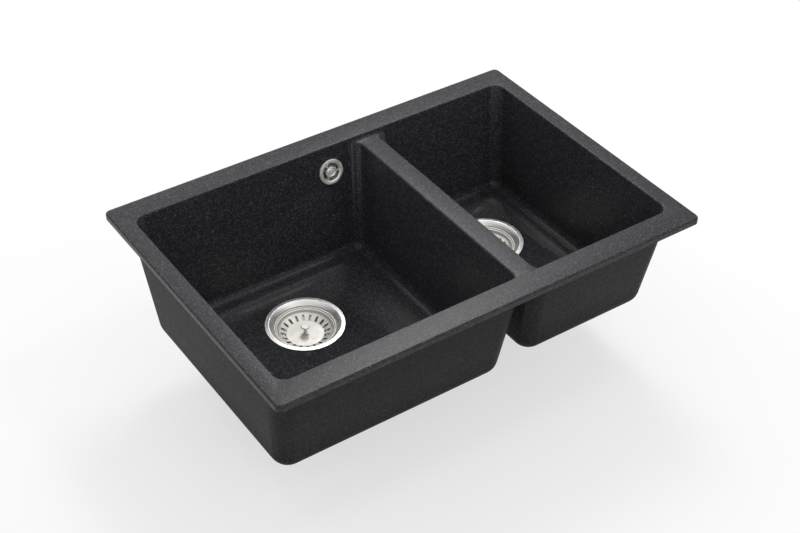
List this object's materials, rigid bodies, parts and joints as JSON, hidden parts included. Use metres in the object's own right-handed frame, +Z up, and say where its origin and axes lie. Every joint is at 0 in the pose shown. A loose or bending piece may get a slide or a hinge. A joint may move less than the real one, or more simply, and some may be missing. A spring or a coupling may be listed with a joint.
{
  "type": "double bowl kitchen sink",
  "caption": "Inset kitchen sink of dark granite composite: a wide bowl and a narrower one, a lowered divider, strainer wastes and a piped overflow.",
  "frame": {"origin": "middle of the rim's underside, which is the worktop's surface", "axes": "+X along the sink from the main bowl to the half bowl, +Y from the front to the back, +Z up"},
  "size_m": [0.65, 0.45, 0.2565],
  "materials": {
    "granite_composite": "matt, fine grained",
    "bright_steel": "pressed and polished stainless steel",
    "turned_steel": "turned stainless steel",
    "black_rubber": "moulded rubber",
    "white_plastic": "moulded polypropylene",
    "grey_plastic": "moulded polypropylene",
    "brass": "turned"
  },
  "bodies": {
    "sink": {"half_flange_seal": "black_rubber", "half_underside_seal": "black_rubber", "half_waste_body": "white_plastic", "half_waste_flange": "bright_steel", "main_flange_seal": "black_rubber", "main_underside_seal": "black_rubber", "main_waste_body": "white_plastic", "main_waste_flange": "bright_steel", "overflow_bend": "white_plastic", "overflow_cross_pipe": "white_plastic", "overflow_drop_pipe": "white_plastic", "overflow_housing": "white_plastic", "overflow_housing_seal": "black_rubber", "overflow_pipe_nuts": "grey_plastic", "overflow_pipe_seals": "black_rubber", "overflow_rose": "turned_steel", "overflow_rose_seal": "black_rubber", "overflow_screw": "turned_steel", "sink_basin": "granite_composite", "waste_clamp_screws": "turned_steel", "waste_thread_inserts": "brass"},
    "main_plug": {"main_basket_post": "turned_steel", "main_plug_seal": "black_rubber", "main_post_nut": "turned_steel", "main_spring_clip": "turned_steel"},
    "main_strainer": {"main_basket": "bright_steel"},
    "half_plug": {"half_basket_post": "turned_steel", "half_plug_seal": "black_rubber", "half_post_nut": "turned_steel", "half_spring_clip": "turned_steel"},
    "half_strainer": {"half_basket": "bright_steel"}
  },
  "joints": [
    {"name": "main_basket_lift", "type": "slide", "parent": "sink", "child": "main_plug", "axis": [0, 0, 1], "range_m": [0, 0.22]},
    {"name": "main_basket_turn", "type": "hinge", "parent": "main_plug", "child": "main_strainer", "pos_m": [-0.123, 0.055, -0.1605], "axis": [0, 0, 1], "continuous": true},
    {"name": "half_basket_lift", "type": "slide", "parent": "sink", "child": "half_plug", "axis": [0, 0, 1], "range_m": [0, 0.21]},
    {"name": "half_basket_turn", "type": "hinge", "parent": "half_plug", "child": "half_strainer", "pos_m": [0.187, 0.055, -0.151], "axis": [0, 0, 1], "continuous": true}
  ]
}
